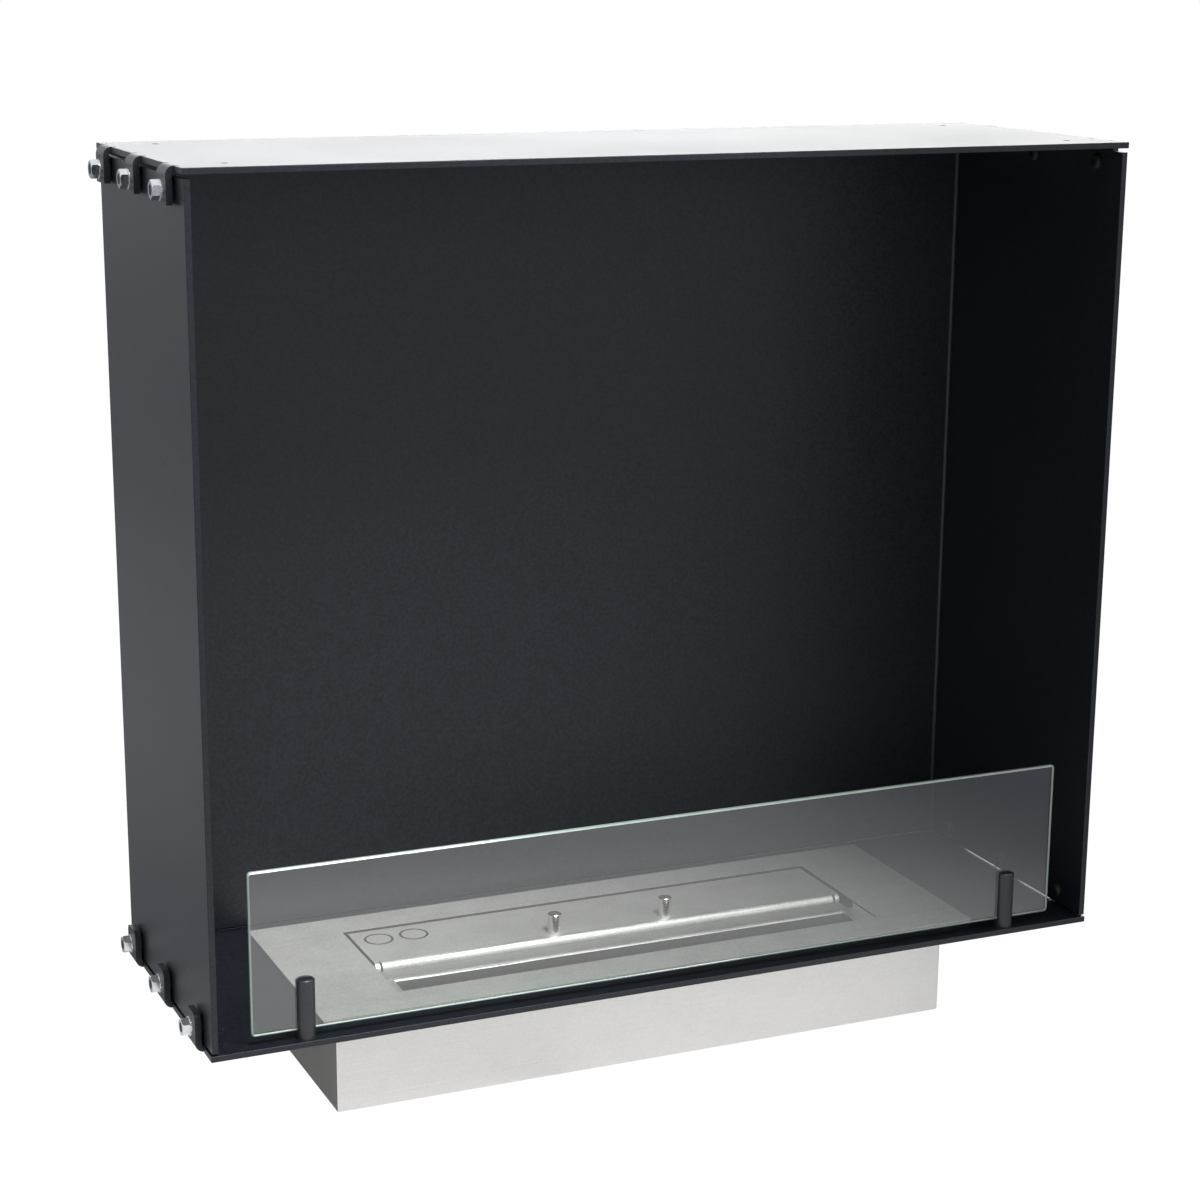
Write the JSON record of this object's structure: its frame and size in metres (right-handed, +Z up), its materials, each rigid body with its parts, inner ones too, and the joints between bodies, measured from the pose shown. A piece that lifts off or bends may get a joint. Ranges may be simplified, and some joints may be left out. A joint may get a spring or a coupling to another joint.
{
  "type": "bioethanol fireplace",
  "caption": "Open-fronted black steel fireplace case with a drop-in stainless ethanol burner, sliding flame lid and low glass guard in slotted posts.",
  "frame": {"origin": "centre of the four holes in the top panel, on its upper face", "axes": "+X to the right seen from the open front, +Y to the back panel, +Z up"},
  "size_m": [0.8282, 0.264, 0.77],
  "materials": {
    "case_black": "fine-textured matt black powder coat",
    "bolt_black": "blackened steel",
    "post_black": "satin black",
    "zinc": "bright zinc plate",
    "stainless": "brushed stainless steel",
    "stainless_stud": "turned stainless steel",
    "glass": "clear toughened float glass with polished edges",
    "wool": "white ceramic wool"
  },
  "bodies": {
    "case": {"top_panel": "case_black", "bottom_panel": "case_black", "case_wrap": "case_black", "lug_bolts_left": "bolt_black", "lug_bolts_right": "bolt_black", "lug_spacers_left": "bolt_black", "lug_spacers_right": "bolt_black", "lug_washers_left": "zinc", "lug_washers_right": "zinc", "lug_nuts_left": "zinc", "lug_nuts_right": "zinc", "glass_post_left": "post_black", "glass_post_right": "post_black", "post_screws": "bolt_black"},
    "burner": {"burner_plate": "stainless", "burner_housing": "stainless", "fuel_tank": "stainless", "tank_cover": "stainless", "wool_pad": "wool"},
    "lid": {"slide_lid": "stainless", "lid_stud_left": "stainless_stud", "lid_stud_right": "stainless_stud", "lid_stud_nuts": "stainless_stud"},
    "glass": {"glass_pane": "glass"}
  },
  "joints": [
    {"name": "burner_lift", "type": "slide", "parent": "case", "child": "burner", "axis": [0, 0, 1], "range_m": [0, 0.24]},
    {"name": "lid_slide", "type": "slide", "parent": "burner", "child": "lid", "axis": [0, -1, 0], "range_m": [0, 0.062]},
    {"name": "glass_lift", "type": "slide", "parent": "case", "child": "glass", "axis": [0, 0, 1], "range_m": [0, 0.045]}
  ]
}
